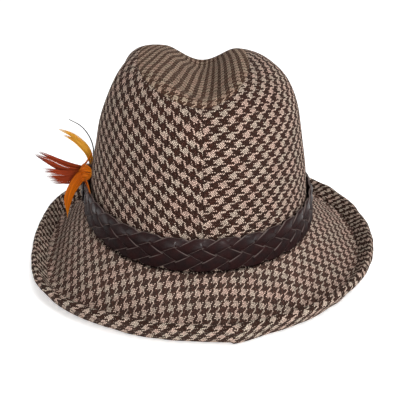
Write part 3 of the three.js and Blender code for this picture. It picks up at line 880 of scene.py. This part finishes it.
def feather(kind):
    """All of one feather's barbs, as thin tapered blades."""
    chance = np.random.default_rng(FEATHER_SEEDS[kind])
    points, faces, along_values, barb_values = [], [], [], []
    for lock in [lock for lock in LOCKS if lock["feather"] == kind]:
        for number in range(lock["count"]):
            v = (number + chance.uniform(0.1, 0.9)) / lock["count"]
            end = 1 - lock["ragged"] * chance.uniform(0, 1) ** 1.5
            begin = chance.uniform(0, 0.25)
            k = np.linspace(begin, end, BARB_STEPS)
            drift = chance.normal(0, 0.05) * (k - begin)
            share = np.clip(v + drift, 0, 1)[:, None]
            upper, lower = along_curve(lock["upper"], k), along_curve(lock["lower"], k)
            flat = upper * (1 - share) + lower * share
            bow = lock["cup"] * (4 * v * (1 - v)) + chance.normal(0, 0.25)
            first, last = lock["back"]
            y = first + (last - first) * k + bow * np.sin(np.pi * k * 0.6) + 0.15 * np.sin(9 * k + number)
            line = np.stack([flat[:, 0], y, flat[:, 1]], -1)
            line = line + (lock["fan"] * (v - 0.5) * k)[:, None] * FAN_DIRECTION
            tangent = unit(np.gradient(line, axis=0))
            tilt = chance.normal(0, 0.35)
            facing = unit(np.array([0.0, math.cos(tilt), math.sin(tilt)]))
            sideways = unit(np.cross(tangent, facing))
            spread = np.linalg.norm(upper - lower, axis=-1)
            width = (spread / lock["count"] * 1.6 + 0.18)[:, None]
            width = width * (1 - smoothstep(0.75, 1.0, (k - begin) / (end - begin))[:, None] * 0.85)
            base = len(points)
            ridge = line + np.cross(sideways, tangent) * 0.08
            half = sideways * width / 2
            for i in range(BARB_STEPS):
                points += [line[i] - half[i], ridge[i], line[i] + half[i]]
                along_values += [k[i]] * 3
                barb_values += [chance.uniform(0, 1) * 0.2 + 0.8 * (number * 0.618 % 1)] * 3
            for i in range(BARB_STEPS - 1):
                a = base + 3 * i
                faces += [[a, a + 3, a + 4, a + 1], [a + 1, a + 4, a + 5, a + 2]]
    return mesh_piece(
        f"feather_{kind}_barbs", np.array(points), faces, barbs(f"{kind}_barbs", *FEATHER_COLOURS[kind]),
        f"feather_{kind}",
        attributes={"along": along_values, "barb": barb_values},
    )


for kind in FEATHER_COLOURS:
    feather(kind)


def shaft(name, line, radii, material, node):
    """A thin round shaft along a line of places."""
    sides = 8
    tangent = unit(np.gradient(line, axis=0))
    across = unit(np.cross(tangent, [0.0, 1.0, 0.0]))
    other = np.cross(across, tangent)
    turn = np.linspace(0, TAU, sides, endpoint=False)
    ring = across[:, None] * np.cos(turn)[None, :, None] + other[:, None] * np.sin(turn)[None, :, None]
    points = line[:, None] + ring * radii[:, None, None]
    faces, _ = grid_faces(len(line), sides, wrap_columns=True)
    faces += [list(range(sides)), [(len(line) - 1) * sides + i for i in reversed(range(sides))]]
    along = np.repeat(np.linspace(0, 1, len(line)), sides)
    attributes = {"along": along, "barb": np.full(len(along), 0.5)}
    return mesh_piece(name, points.reshape(-1, 3), faces, material, node, attributes=attributes)


QUILL = [(79.4, -9, 55.3), (78, -9, 63), (78.2, -9, 71), (80.9, -9, 78.9), (86.2, -9, 86), (94.5, -9, 91)]
quill_material = barbs("quill_shaft", (0.03, 0.028, 0.025), (0.045, 0.048, 0.045), (0.16, 0.16, 0.15))
quill_line = along_curve(QUILL, np.linspace(0, 1, 40))
quill_radii = np.linspace(0.55, 0.36, len(quill_line))
shaft("feather_quill_shaft", quill_line, quill_radii, quill_material, "feather_quill")

# ---- Floor, light and camera --------------------------------------------------------------

PAPER = {"grey": 0.96, "glow": 0.42, "size": 12}
SKY_STRENGTH = 0.46

floor_z = cad_box[0].z
bpy.ops.mesh.primitive_plane_add(size=PAPER["size"], location=(0, 0, floor_z))
floor = bpy.context.object
floor.name = "floor"
paper = Graph("paper")
paper.shader.inputs["Base Color"].default_value = (PAPER["grey"], PAPER["grey"], PAPER["grey"], 1)
paper.shader.inputs["Roughness"].default_value = 0.9
paper.shader.inputs["Emission Color"].default_value = (1, 1, 1, 1)
paper.shader.inputs["Emission Strength"].default_value = PAPER["glow"]
floor.data.materials.append(paper.material)

world = bpy.data.worlds.new("studio")
world.use_nodes = True
world.node_tree.nodes["Background"].inputs[0].default_value = (1, 1, 1, 1)
world.node_tree.nodes["Background"].inputs[1].default_value = SKY_STRENGTH
bpy.context.scene.world = world


def soft_light(name, place, aim, width, height, power):
    data = bpy.data.lights.new(name, "AREA")
    data.shape = "RECTANGLE"
    data.size = width
    data.size_y = height
    data.energy = power
    light = bpy.data.objects.new(name, data)
    light.location = place
    light.rotation_euler = (Vector(aim) - Vector(place)).to_track_quat("-Z", "Y").to_euler()
    bpy.context.scene.collection.objects.link(light)


soft_light("overhead", place=(-0.4, 0.3, 1.45), aim=(0, 0, 0), width=1.2, height=1.2, power=14)
soft_light("key", place=(-0.95, 1.2, 0.95), aim=(0, 0, 0.06), width=0.4, height=0.4, power=9)
soft_light("window", place=(-0.36, 1.7, 0.42), aim=(0, 0, 0.06), width=0.16, height=0.6, power=9)

CAMERA_DISTANCE = 0.6
CAMERA_ELEVATION = math.radians(23.55)
aim = Vector((-0.0012, 0, 0.03065)) + Vector(HEAD_MIDDLE)
back = Vector((0, math.cos(CAMERA_ELEVATION), math.sin(CAMERA_ELEVATION)))
camera_data = bpy.data.cameras.new("camera")
camera_data.lens = 72
camera_data.sensor_width = 36
camera = bpy.data.objects.new("camera", camera_data)
camera.location = aim + back * CAMERA_DISTANCE
camera.rotation_euler = (-back).to_track_quat("-Z", "Y").to_euler()
bpy.context.scene.collection.objects.link(camera)
bpy.context.scene.camera = camera
bpy.context.scene.view_settings.view_transform = "Standard"
